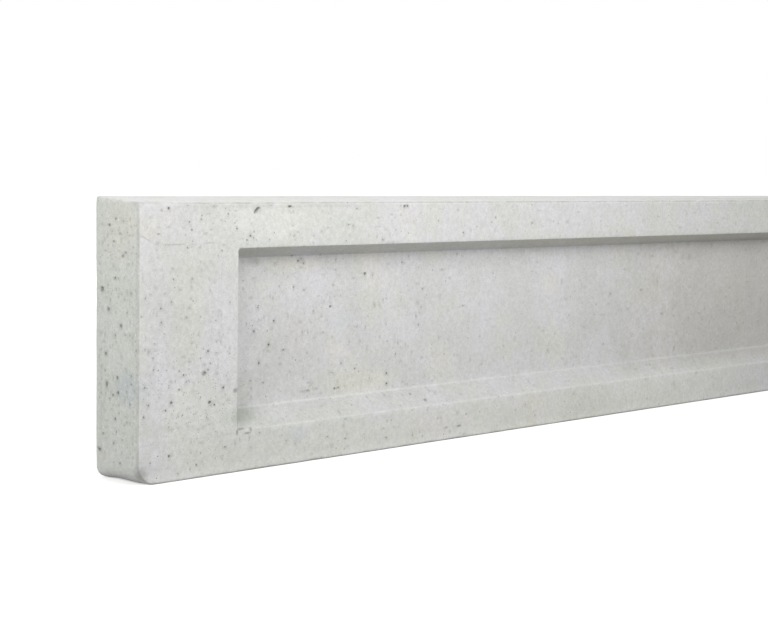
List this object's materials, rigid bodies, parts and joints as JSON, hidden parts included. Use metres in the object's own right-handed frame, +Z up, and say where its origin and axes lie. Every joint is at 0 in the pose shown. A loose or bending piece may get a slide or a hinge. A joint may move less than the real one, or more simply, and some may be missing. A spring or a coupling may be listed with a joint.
{
  "type": "concrete gravel board",
  "caption": "Long precast concrete plinth board with a splayed recess in its face, slotted between posts under a fence panel to keep it off the soil.",
  "frame": {"origin": "middle of the underside, halfway along the board and halfway through its thickness", "axes": "+X along the board, -Y out of the recessed face, +Z up to the top edge that carries the fence panel"},
  "size_m": [1.83, 0.05, 0.2],
  "materials": {
    "precast_concrete": "matte"
  },
  "bodies": {
    "root": {"gravel_board": "precast_concrete"}
  },
  "joints": []
}
